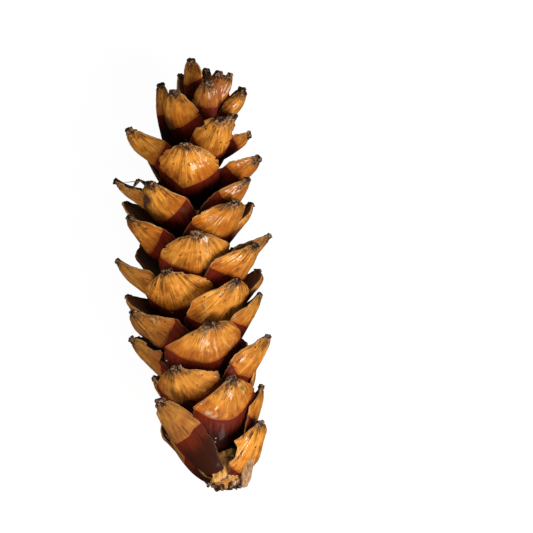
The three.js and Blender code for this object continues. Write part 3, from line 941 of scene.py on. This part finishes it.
def scale_finish():
    """The whole skin of a scale: tan shield, mahogany covered part, crust, rim and dull inner face, with
    painted shade and highlights.
    """
    if "varnished_scale" in bpy.data.materials:
        return bpy.data.materials["varnished_scale"]
    look = bpy.context.scene.pine_cone_colours
    material, wire, shader = new_material("varnished_scale")
    across, below, outer = wire.attribute("scale_place")
    seed, shield, crust = wire.attribute("scale_tone")
    rim, painted_root_shade, woody = wire.attribute("scale_look")
    red, brown, stain = wire.attribute("scale_own")
    dark_mark, green_mark, pale_mark = wire.attribute("scale_mark")
    place = wire.node("ShaderNodeTexCoord").outputs["Object"]
    flat = wire.vector(across, below, seed)
    ribs = placed(wire, fan_ribs(), {"Across": across, "Below": below, "Seed": seed})

    # The tan shield: broad tones, ribs with painted shade in their valleys and in the wrinkles' hollows
    # and painted highlights on their crests, dark streaks below the tip and pin pricks
    own_tone = wire.noise(wire.vector(seed, 0.5), 1.9, 0.0)
    broad = wire.math("ADD", wire.noise(flat, 1.9, 3.0, 0.55, 0.4), wire.math("MULTIPLY", own_tone, 0.4))
    broad = wire.math("ADD", broad, wire.mask(shield, 0.0, 0.9, 0.0, 0.3))
    lightness = wire.mask(broad, 0.62, 1.12)
    shield_tan = wire.mix(lightness, colour(look.shield_deep), colour(look.shield_light))
    # Painted shade in the rib valleys, painted highlight on the rib crests and painted shade in the
    # wrinkle hollows, where the bump relief lies
    rib_valley_shade = wire.mask(ribs["Ribs"], 0.52, 0.36)
    shield_tan = wire.tinted(shield_tan, (0.25, 0.06, 0.007), rib_valley_shade, 0.6)
    rib_crest_highlight = wire.mask(ribs["Ribs"], 0.54, 0.68)
    shield_tan = wire.tinted(shield_tan, (0.92, 0.50, 0.14), rib_crest_highlight, 0.4)
    wrinkle_hollow_shade = wire.mask(ribs["Wrinkles"], 0.5, 0.32)
    shield_tan = wire.tinted(shield_tan, (0.27, 0.065, 0.007), wrinkle_hollow_shade, 0.5)
    fibre_dark = wire.mask(ribs["Fibres"], 0.48, 0.34)
    shield_tan = wire.tinted(shield_tan, (0.17, 0.045, 0.006), fibre_dark, 0.5)
    fibre_light = wire.mask(ribs["Fibres"], 0.56, 0.72)
    shield_tan = wire.tinted(shield_tan, (0.88, 0.46, 0.11), fibre_light, 0.5)
    shield_tan = wire.tinted(shield_tan, (0.06, 0.02, 0.006), ribs["Streaks"], 0.85)
    near_crust = wire.mask(below, 0.2, 0.75, 1.0, 0.0)
    soiled = wire.math("MULTIPLY", near_crust, wire.mask(ribs["Fibres"], 0.62, 0.42))
    shield_tan = wire.tinted(shield_tan, (0.10, 0.033, 0.007), soiled, 0.45)
    pricks = placed(wire, fine_specks(), {"Vector": place, "Scale": 420.0, "Radius": 0.15, "Share": 0.22})
    shield_tan = wire.tinted(shield_tan, (0.03, 0.012, 0.006), pricks["Mask"], 0.9)

    # The covered part: mahogany with faint lengthwise lines and dust, and painted shade away from the
    # shield line and towards the root
    lines_at = wire.vector(wire.math("MULTIPLY", across, 7.0), wire.math("MULTIPLY", below, 0.7), seed)
    lines = wire.noise(lines_at, 1.6, 4.0, 0.6, 0.5)
    # Painted shade: the covered part darkens away from the shield line, deeper between the scales, on top
    # of its own lines
    gap_shade_ramp = wire.mask(shield, -1.1, 0.0, -0.3, 0.25)
    grain_and_gap_shade = wire.mask(wire.math("ADD", lines, gap_shade_ramp), 0.28, 0.88)
    mahogany = wire.mix(grain_and_gap_shade, colour(look.hidden_deep), colour(look.hidden_light))
    dust = placed(wire, fine_specks(), {"Vector": place, "Scale": 330.0, "Radius": 0.12, "Share": 0.1})
    mahogany = wire.tinted(mahogany, (0.62, 0.5, 0.42), dust["Mask"], 0.75)
    # Painted shade towards the root, between the scales
    mahogany = wire.tinted(mahogany, (0.007, 0.0015, 0.001), painted_root_shade, 0.88)

    # The line between them, with a warm tint on its tan side
    wander = wire.math("MULTIPLY", wire.math("SUBTRACT", wire.noise(flat, 9.0, 3.0, 0.6), 0.5), 0.05)
    edge = wire.math("ADD", shield, wander)
    warm = wire.mask(edge, 0.0, 0.14, 1.0, 0.0)
    shield_tan = wire.tinted(shield_tan, (0.40, 0.08, 0.012), warm, 0.55)
    outside = wire.mix(wire.mask(edge, -0.012, 0.012), mahogany, shield_tan)

    # The thin pale rim, partly a pale cut edge and partly painted highlight, the crusted tip, and the
    # dull inner face with painted shade towards its root
    # Pale rim on the shield: partly the cut edge's own paleness, partly a painted highlight on the rim's
    # thickness
    pale_edge_and_highlight = wire.math("MULTIPLY", wire.mask(rim, 0.74, 0.95), wire.mask(edge, 0.0, 0.1, 0.15, 0.75))
    outside = wire.tinted(outside, (0.72, 0.40, 0.15), pale_edge_and_highlight)
    grit = wire.noise(place, 800.0, 4.0, 0.7)
    crust_tone = wire.mix(wire.mask(grit, 0.48, 0.64), colour(look.crust_deep), colour(look.crust_light))
    inner_lines = wire.mask(wire.noise(lines_at, 3.0, 4.0, 0.6, 0.2), 0.3, 0.75)
    inside = wire.mix(inner_lines, colour(look.inner_deep), colour(look.inner_light))
    # Painted shade on the inner face towards the root
    inside = wire.tinted(inside, (0.012, 0.005, 0.002), painted_root_shade, 0.85)
    inside = wire.mix(wire.mask(rim, 0.55, 0.9), inside, (0.40, 0.18, 0.045, 1))
    skin = wire.mix(wire.mask(outer, 0.1, 0.45), inside, outside)
    skin = wire.tinted(skin, (0.21, 0.035, 0.014), red, 0.8)
    inner = wire.mask(outer, 0.45, 0.1, 0.0, 0.6)
    in_view = wire.math("MAXIMUM", wire.mask(edge, -0.02, 0.02, 0.1, 0.6), inner)
    skin = wire.tinted(skin, (0.15, 0.07, 0.03), brown, in_view)
    fibrous_light = wire.mask(ribs["Fibres"], 0.36, 0.6)
    fibrous = wire.mix(fibrous_light, (0.16, 0.055, 0.012, 1), (0.62, 0.27, 0.06, 1))
    skin = wire.mix(woody, skin, fibrous)
    blot = wire.mask(wire.noise(flat, 3.4, 4.0, 0.6, 0.5), 0.56, 0.68)
    skin = wire.tinted(skin, (0.07, 0.06, 0.03), blot, stain)
    skin = wire.mix(wire.math("MINIMUM", dark_mark, 0.9), skin, (0.03, 0.012, 0.012, 1))
    skin = wire.mix(wire.math("MINIMUM", green_mark, 0.8), skin, (0.10, 0.085, 0.035, 1))
    skin = wire.mix(wire.math("MINIMUM", pale_mark, 0.8), skin, (0.42, 0.36, 0.28, 1))
    skin = wire.mix(crust, skin, crust_tone)
    wire.feed(shader.inputs["Base Color"], skin)

    # Gloss: a thick clear coat outside, thin inside, and dry crust
    dry = wire.mask(crust, 0.2, 0.8)
    wire.feed(shader.inputs["Roughness"], wire.mix(dry, (0.36, 0.36, 0.36, 1), (0.75, 0.75, 0.75, 1)))
    coat = wire.mask(outer, 0.1, 0.45, 0.25, 0.9)
    coat = wire.math("MULTIPLY", coat, wire.mask(crust, 0.2, 0.9, 1.0, 0.25))
    coat = wire.math("MULTIPLY", coat, wire.mask(rim, 0.5, 0.9, 1.0, 0.35))
    coat = wire.math("MULTIPLY", coat, wire.mask(wire.noise(flat, 2.3, 2.0), 0.42, 0.6, 0.3, 1.0))
    coat = wire.math("MULTIPLY", coat, wire.mask(edge, -0.05, 0.05, 0.1, 1.0))
    wire.feed(shader.inputs["Coat Weight"], coat)
    shader.inputs["Coat Roughness"].default_value = 0.06
    shader.inputs["Specular IOR Level"].default_value = 0.08
    shader.inputs["IOR"].default_value = 1.5

    # Relief: ribs, fibres, varnish waves and grit
    ripple = placed(wire, varnish_ripple(), {"Vector": place, "Size": 1.0})
    in_shield = wire.mask(shield, -0.02, 0.1)
    rib_relief = wire.math("MULTIPLY", wire.math("MULTIPLY", ribs["Ribs"], in_shield), 0.8)
    fibre_relief = wire.math("MULTIPLY", wire.math("MULTIPLY", ribs["Fibres"], in_shield), 0.06)
    line_relief = wire.math("MULTIPLY", lines, 0.12)
    varnish_relief = wire.math("MULTIPLY", ripple["Height"], 0.7)
    grit_relief = wire.math("MULTIPLY", wire.math("MULTIPLY", grit, crust), 1.6)
    wrinkle_relief = wire.math("MULTIPLY", wire.math("MULTIPLY", ribs["Wrinkles"], in_shield), 0.6)
    relief = rib_relief
    for more in (fibre_relief, wrinkle_relief, line_relief, varnish_relief, grit_relief):
        relief = wire.math("ADD", relief, more)
    bump = wire.node("ShaderNodeBump", {"Strength": 0.9, "Distance": 0.0007, "Height": relief})
    wire.feed(shader.inputs["Normal"], bump.outputs["Normal"])
    return material


def axis_finish():
    """The woody axis and broken stem: dry golden-brown fibres with dark cracks."""
    if "axis_wood" in bpy.data.materials:
        return bpy.data.materials["axis_wood"]
    material, wire, shader = new_material("axis_wood")
    place = wire.node("ShaderNodeTexCoord").outputs["Object"]
    stretched = wire.node("ShaderNodeVectorMath", {0: place, 1: (1.0, 0.22, 1.0)}, operation="MULTIPLY")
    fibres = wire.noise(stretched.outputs[0], 900.0, 4.0, 0.6, 0.3)
    wood = wire.mix(wire.mask(fibres, 0.3, 0.66), (0.30, 0.11, 0.025, 1), (0.90, 0.45, 0.12, 1))
    cracks = wire.mask(wire.noise(place, 420.0, 4.0, 0.65, 0.5), 0.5, 0.38)
    wood = wire.tinted(wood, (0.02, 0.01, 0.006), cracks, 0.85)
    specks = placed(wire, fine_specks(), {"Vector": place, "Scale": 500.0, "Radius": 0.15, "Share": 0.3})
    wood = wire.tinted(wood, (0.42, 0.26, 0.13), specks["Mask"], 0.7)
    along = wire.parts(place)[1]
    scar = wire.mask(wire.math("ADD", along, wire.math("MULTIPLY", fibres, 0.003)), -0.0712, -0.0722)
    burnt = wire.mix(wire.mask(fibres, 0.48, 0.62), (0.03, 0.012, 0.006, 1), (0.42, 0.17, 0.04, 1))
    wood = wire.mix(scar, wood, burnt)
    wire.feed(shader.inputs["Base Color"], wood)
    wire.feed(shader.inputs["Roughness"], wire.mask(fibres, 0.3, 0.7, 0.75, 0.5))
    ripple = placed(wire, varnish_ripple(), {"Vector": place, "Size": 2.0})
    relief = wire.math("ADD", fibres, wire.math("MULTIPLY", ripple["Height"], 0.4))
    bump = wire.node("ShaderNodeBump", {"Strength": 0.7, "Distance": 0.0005, "Height": relief})
    wire.feed(shader.inputs["Normal"], bump.outputs["Normal"])
    shader.inputs["Coat Weight"].default_value = 0.3
    shader.inputs["Coat Roughness"].default_value = 0.2
    return material


def crust_finish():
    """Crumbly bark: near black with dry brown flakes."""
    if "stem_bark" in bpy.data.materials:
        return bpy.data.materials["stem_bark"]
    look = bpy.context.scene.pine_cone_colours
    material, wire, shader = new_material("stem_bark")
    place = wire.node("ShaderNodeTexCoord").outputs["Object"]
    grit = wire.noise(place, 900.0, 4.0, 0.7)
    bark = wire.mix(wire.mask(grit, 0.46, 0.68), colour(look.crust_deep), colour(look.crust_light))
    flakes = placed(wire, fine_specks(), {"Vector": place, "Scale": 500.0, "Radius": 0.22, "Share": 0.3})
    bark = wire.tinted(bark, (0.42, 0.24, 0.09), flakes["Mask"], 0.7)
    wire.feed(shader.inputs["Base Color"], bark)
    wire.feed(shader.inputs["Roughness"], wire.mask(grit, 0.4, 0.7, 0.85, 0.5))
    bump = wire.node("ShaderNodeBump", {"Strength": 0.9, "Distance": 0.0008, "Height": grit})
    wire.feed(shader.inputs["Normal"], bump.outputs["Normal"])
    return material


def dry_bark_finish():
    """Dry light-brown bark with lengthwise fibres."""
    if "dry_bark" in bpy.data.materials:
        return bpy.data.materials["dry_bark"]
    material, wire, shader = new_material("dry_bark")
    place = wire.node("ShaderNodeTexCoord").outputs["Object"]
    stretched = wire.node("ShaderNodeVectorMath", {0: place, 1: (1.0, 0.25, 1.0)}, operation="MULTIPLY")
    fibres = wire.noise(stretched.outputs[0], 1100.0, 4.0, 0.6, 0.3)
    bark = wire.mix(wire.mask(fibres, 0.3, 0.65), (0.19, 0.085, 0.035, 1), (0.46, 0.26, 0.13, 1))
    wire.feed(shader.inputs["Base Color"], bark)
    wire.feed(shader.inputs["Roughness"], wire.mask(fibres, 0.3, 0.7, 0.75, 0.55))
    bump = wire.node("ShaderNodeBump", {"Strength": 0.7, "Distance": 0.0005, "Height": fibres})
    wire.feed(shader.inputs["Normal"], bump.outputs["Normal"])
    return material


class PINECONE_OT_add_scales(bpy.types.Operator):
    """Makes a run of neighbouring scales as one piece"""

    bl_idname = "pine_cone.add_scales"
    bl_label = "Add scales"

    piece: StringProperty(name="Piece", description="Name of the piece", default="scales")
    first: IntProperty(name="First scale", description="Number of its first scale", default=0, min=0)
    last: IntProperty(name="Last scale", description="Number of its last scale", default=1, min=0)

    def execute(self, context):
        bm = bmesh.new()
        for name in (*SURFACE_VALUES, "scale_own"):
            bm.verts.layers.float_vector.new(name)
        for number in range(self.first, self.last + 1):
            add_scale(bm, number, context.scene.pine_cone_shape)
        finished_piece(bm, self.piece, scale_finish())
        return {"FINISHED"}


class PINECONE_OT_add_axis(bpy.types.Operator):
    """Makes the woody axis with its broken stem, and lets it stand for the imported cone"""

    bl_idname = "pine_cone.add_axis"
    bl_label = "Add axis"

    sides: IntProperty(name="Sides", description="Faces round the axis", default=48, min=8)
    steps: IntProperty(name="Steps", description="Faces along the axis", default=110, min=8)
    end_rings: IntProperty(name="End rings", description="Rings of faces at an end", default=3, min=1)

    def execute(self, context):
        bm = bmesh.new()
        bmesh.ops.create_cone(bm, cap_ends=True, segments=self.sides, radius1=1, radius2=1, depth=2)
        upright = [edge for edge in bm.edges if abs(edge.verts[0].co.z - edge.verts[1].co.z) > 1]
        bmesh.ops.subdivide_edges(bm, edges=upright, cuts=self.steps, use_grid_fill=True)
        ends = [face for face in bm.faces if len(face.verts) == self.sides]
        for ring in range(self.end_rings):
            bmesh.ops.inset_region(bm, faces=ends, thickness=1 / (self.end_rings + 1))
        for end in ends:
            bmesh.ops.poke(bm, faces=[end])
        for vert in bm.verts:
            vert.co = axis_surface(vert.co)
        face_outwards(bm, bm.faces[:])
        axis = finished_piece(bm, "cone_axis", axis_finish())
        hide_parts(CONE_NODE)
        return {"FINISHED"}


def axis_surface(place):
    """One point of the axis, lumpy and hollowed at the broken stem, from its place on a cylinder."""
    distance = AXIS_STARTS + (place.z + 1) / 2 * (AXIS_LENGTH - AXIS_STARTS)
    middle, forward, side, up = axis_at(distance)
    radius = between(AXIS_RADIUS, distance / AXIS_LENGTH)
    reach = math.hypot(place.x, place.y)
    around = Vector((place.x, place.y, 0)) * 3
    lumps = AXIS_LUMPS * noise.noise(around + Vector((0, 0, distance * 0.5)))
    hollow = 0
    if place.z < -0.999:
        hollow = SCAR_HOLLOW * smooth(clamped((0.85 - reach) / 0.5))
        hollow += SCAR_CRUMBS * noise.noise(around * 2)
    point = middle + (side * place.x + up * place.y) * radius * (1 + lumps) + forward * hollow
    return point * MM


class PINECONE_OT_add_stem_crust(bpy.types.Operator):
    """Makes the crumbly knobs of bark round the broken stem"""

    bl_idname = "pine_cone.add_stem_crust"
    bl_label = "Add stem crust"

    knobs: IntProperty(name="Knobs", description="Number of knobs", default=38, min=1, max=200)

    def execute(self, context):
        bm = bmesh.new()
        for knob in range(self.knobs):
            turn = knob * GOLDEN_ANGLE
            share = (knob + 0.5) / self.knobs
            middle, forward, side, up = axis_at(AXIS_STARTS + STEM_CRUST_LENGTH * share ** 1.5)
            nearest, furthest = STEM_CRUST_REACH
            reach = (nearest + (furthest - nearest) * share) * (1 + 0.15 * math.sin(knob * 5.1))
            outward = side * math.sin(turn) + up * math.cos(turn)
            made = bmesh.ops.create_icosphere(bm, subdivisions=3, radius=1)
            faces = list({face for vert in made["verts"] for face in vert.link_faces})
            size = KNOB_SIZE + KNOB_SIZE_VARIES * math.sin(knob * 2.3)
            for vert in made["verts"]:
                rough = 1 + 0.55 * noise.noise(vert.co * 1.3 + Vector((knob, 0, 0)))
                rough += 0.3 * noise.noise(vert.co * 3.1 + Vector((0, knob, 0)))
                stretched = Vector((vert.co.x, vert.co.y * 1.3, vert.co.z)) * size * rough
                vert.co = (middle + outward * reach + stretched) * MM
            face_outwards(bm, faces)
        finished_piece(bm, "stem_crust", crust_finish())
        return {"FINISHED"}


class PINECONE_OT_add_strip(bpy.types.Operator):
    """Makes the strip of dry bark over the torn scale at the stem, or the bare fibres beside it"""

    bl_idname = "pine_cone.add_strip"
    bl_label = "Add strip"

    piece: StringProperty(name="Piece", description="Which of the strips", default="dry_strip")

    def execute(self, context):
        bm = bmesh.new()
        bmesh.ops.create_grid(bm, x_segments=16, y_segments=40, size=1)
        top, bottom, half_width, bulge, curve, spread = STRIPS[self.piece]
        for vert in bm.verts:
            share = (vert.co.y + 1) / 2
            ragged = 1 + 0.25 * uneven(share * 5, vert.co.x, 11)
            across = vert.co.x * half_width * ragged * (1 + spread * share ** 3)
            spine = Vector(top).lerp(Vector(bottom), share)
            raised = bulge * math.sin(share * math.pi) - curve * across ** 2
            lumps = 0.3 * uneven(share * 7, across, 12)
            vert.co = (spine + Vector((across, 0.3 * across, raised + lumps))) * MM
        bmesh.ops.recalc_face_normals(bm, faces=bm.faces)
        bmesh.ops.solidify(bm, geom=bm.faces, thickness=STRIP_THICKNESS * MM)
        face_outwards(bm, bm.faces[:])
        finish = dry_bark_finish if self.piece == "dry_strip" else axis_finish
        finished_piece(bm, self.piece, finish())
        return {"FINISHED"}


class PINECONE_OT_add_splinters(bpy.types.Operator):
    """Makes the thin curved splinters that stick out between the scales"""

    bl_idname = "pine_cone.add_splinters"
    bl_label = "Add splinters"

    sides: IntProperty(name="Sides", description="Faces round a splinter", default=10, min=4)

    def execute(self, context):
        kinds = (
            ("pale_splinters", PALE_SPLINTERS, dry_bark_finish),
            ("dark_splinters", DARK_SPLINTERS, crust_finish),
        )
        for piece, splinters, finish in kinds:
            bm = bmesh.new()
            for foot, end, bulge, radius in splinters:
                add_splinter(bm, Vector(foot), Vector(end), bulge, radius, self.sides)
            finished_piece(bm, piece, finish())
        return {"FINISHED"}


def add_splinter(bm, foot, end, bulge, radius, sides):
    """A slim cone, bent along an arch from its foot to its end."""
    first_vert = len(bm.verts)
    first_face = len(bm.faces)
    made = bmesh.ops.create_cone(
        bm, cap_ends=True, cap_tris=True, segments=sides, radius1=radius, radius2=radius / 4, depth=1
    )
    upright = {edge for vert in made["verts"] for edge in vert.link_edges}
    upright = [edge for edge in upright if abs(edge.verts[0].co.z - edge.verts[1].co.z) > 0.9]
    bmesh.ops.subdivide_edges(bm, edges=upright, cuts=SPLINTER_CUTS)
    way = end - foot
    side = way.cross(Vector((0, 0, 1))).normalized()
    top = side.cross(way).normalized()
    bm.verts.ensure_lookup_table()
    for vert in bm.verts[first_vert:]:
        share = vert.co.z + 0.5
        arch = top * bulge * math.sin(share * math.pi)
        vert.co = (foot + way * share + arch + side * vert.co.x + top * vert.co.y) * MM
    bm.faces.ensure_lookup_table()
    face_outwards(bm, bm.faces[first_face:])


class PINECONE_OT_add_stage(bpy.types.Operator):
    """Makes the pale table, the soft lights and the camera"""

    bl_idname = "pine_cone.add_stage"
    bl_label = "Add stage"

    def execute(self, context):
        stage = context.scene.pine_cone_stage
        add_table(context.scene)
        for light, (place, size, glints) in LIGHTS.items():
            power = getattr(stage, light + "_power")
            add_light(light + "_light", place, size, power, glints)
        world = bpy.data.worlds.new("room")
        world.use_nodes = True
        room = world.node_tree.nodes["Background"]
        room.inputs["Color"].default_value = (1, 1, 1, 1)
        room.inputs["Strength"].default_value = stage.room_light
        context.scene.world = world
        add_camera(context.scene, stage)
        context.scene.view_settings.view_transform = "Standard"
        return {"FINISHED"}


def add_table(scene):
    """The flat table, which throws no light back onto the cone."""
    bm = bmesh.new()
    bmesh.ops.create_grid(bm, x_segments=2, y_segments=2, size=TABLE_HALF_SIZE)
    mesh = bpy.data.meshes.new("table")
    bm.to_mesh(mesh)
    bm.free()
    floor = bpy.data.objects.new("table", mesh)
    scene.collection.objects.link(floor)
    mesh.materials.append(table_finish())
    floor.visible_glossy = False
    floor.visible_diffuse = False


def table_finish():
    """White light table with the faintest grain, which shows faint shadows."""
    material, wire, shader = new_material("white_table")
    place = wire.node("ShaderNodeTexCoord").outputs["Object"]
    table = bpy.context.scene.pine_cone_stage.table_colour
    grain = wire.mask(wire.noise(place, 60.0, 2.0), 0.3, 0.7, 0.98, 1.0)
    shade = wire.node("ShaderNodeCombineColor", {0: grain, 1: grain, 2: grain}).outputs[0]
    wire.feed(shader.inputs["Base Color"], wire.mix(1.0, colour(table), shade, "MULTIPLY"))
    shader.inputs["Roughness"].default_value = 0.8
    shader.inputs["Emission Color"].default_value = (1, 1, 1, 1)
    shader.inputs["Emission Strength"].default_value = bpy.context.scene.pine_cone_stage.table_glow
    return material


# Half the table's size, in metres
TABLE_HALF_SIZE = 3

# The soft lights: place and size in metres, and whether they may show in the varnish
LIGHTS = {
    "key": ((0.53, -0.32, 0.54), 0.42, False),
    "top": ((0.10, 0.30, 1.20), 0.30, False),
    "fill": ((-0.55, -0.25, 0.40), 0.40, False),
    "glint": ((0.60, -0.46, 0.36), 0.24, True),
    "low_glint": ((0.32, -0.76, 0.20), 0.16, True),
}

# The camera's place above the table, which puts the cone left of the picture's middle
CAMERA_PLACE = (0.025247, 0.001223)


def add_light(name, place, size, power, glints):
    """A square soft light that looks at the middle of the cone, and may show in the varnish."""
    data = bpy.data.lights.new(name, "AREA")
    data.size = size
    data.energy = power
    light = bpy.data.objects.new(name, data)
    light.location = place
    light.visible_glossy = glints
    light.visible_camera = False
    towards = Vector((0, 0, AXIS_HEIGHT * MM)) - light.location
    light.rotation_euler = towards.to_track_quat("-Z", "Y").to_euler()
    bpy.context.scene.collection.objects.link(light)


def add_camera(scene, stage):
    """Looks straight down at the table."""
    data = bpy.data.cameras.new("camera")
    data.sensor_width = 36
    data.lens = data.sensor_width * stage.camera_height / stage.picture_width
    data.clip_start = 0.01
    data.clip_end = 20
    camera = bpy.data.objects.new("camera", data)
    camera.location = (*CAMERA_PLACE, AXIS_HEIGHT * MM + stage.camera_height)
    camera.rotation_euler = (0, 0, stage.camera_roll)
    scene.collection.objects.link(camera)
    scene.camera = camera


OPERATORS = (
    PINECONE_OT_add_axis,
    PINECONE_OT_add_scales,
    PINECONE_OT_add_stem_crust,
    PINECONE_OT_add_strip,
    PINECONE_OT_add_splinters,
    PINECONE_OT_add_stage,
)


class PINECONE_PT_panel(bpy.types.Panel):
    """Lists the cone's operators and settings"""

    bl_idname = "PINECONE_PT_panel"
    bl_label = "Pine cone"
    bl_space_type = "VIEW_3D"
    bl_region_type = "UI"
    bl_category = "Pine cone"

    def draw(self, context):
        layout = self.layout
        for operator in OPERATORS:
            layout.operator(operator.bl_idname)
        for group in ("pine_cone_shape", "pine_cone_colours", "pine_cone_stage"):
            settings = getattr(context.scene, group)
            for name in settings.bl_rna.properties.keys():
                if name not in ("rna_type", "name"):
                    layout.prop(settings, name)


CLASSES = (
    ConeShape,
    ConeColours,
    ConeStage,
    *OPERATORS,
    PINECONE_PT_panel,
)

SETTINGS = {
    "pine_cone_shape": ConeShape,
    "pine_cone_colours": ConeColours,
    "pine_cone_stage": ConeStage,
}

# The runs of scales that make one piece each
PIECES = (
    ("scales_base", 0, 12),
    ("scales_lower", 13, 26),
    ("scales_middle", 27, 40),
    ("scales_upper", 41, 54),
    ("scales_crown", 55, 68),
)


def register():
    for cls in CLASSES:
        bpy.utils.register_class(cls)
    for name, group in SETTINGS.items():
        setattr(bpy.types.Scene, name, PointerProperty(type=group))


def unregister():
    for name in SETTINGS:
        delattr(bpy.types.Scene, name)
    for cls in reversed(CLASSES):
        bpy.utils.unregister_class(cls)


def main():
    register()
    bpy.ops.pine_cone.add_stage()
    bpy.ops.pine_cone.add_axis()
    for piece, first, last in PIECES:
        bpy.ops.pine_cone.add_scales(piece=piece, first=first, last=last)
    bpy.ops.pine_cone.add_stem_crust()
    for piece in STRIPS:
        bpy.ops.pine_cone.add_strip(piece=piece)
    bpy.ops.pine_cone.add_splinters()


if __name__ == "__main__":
    main()
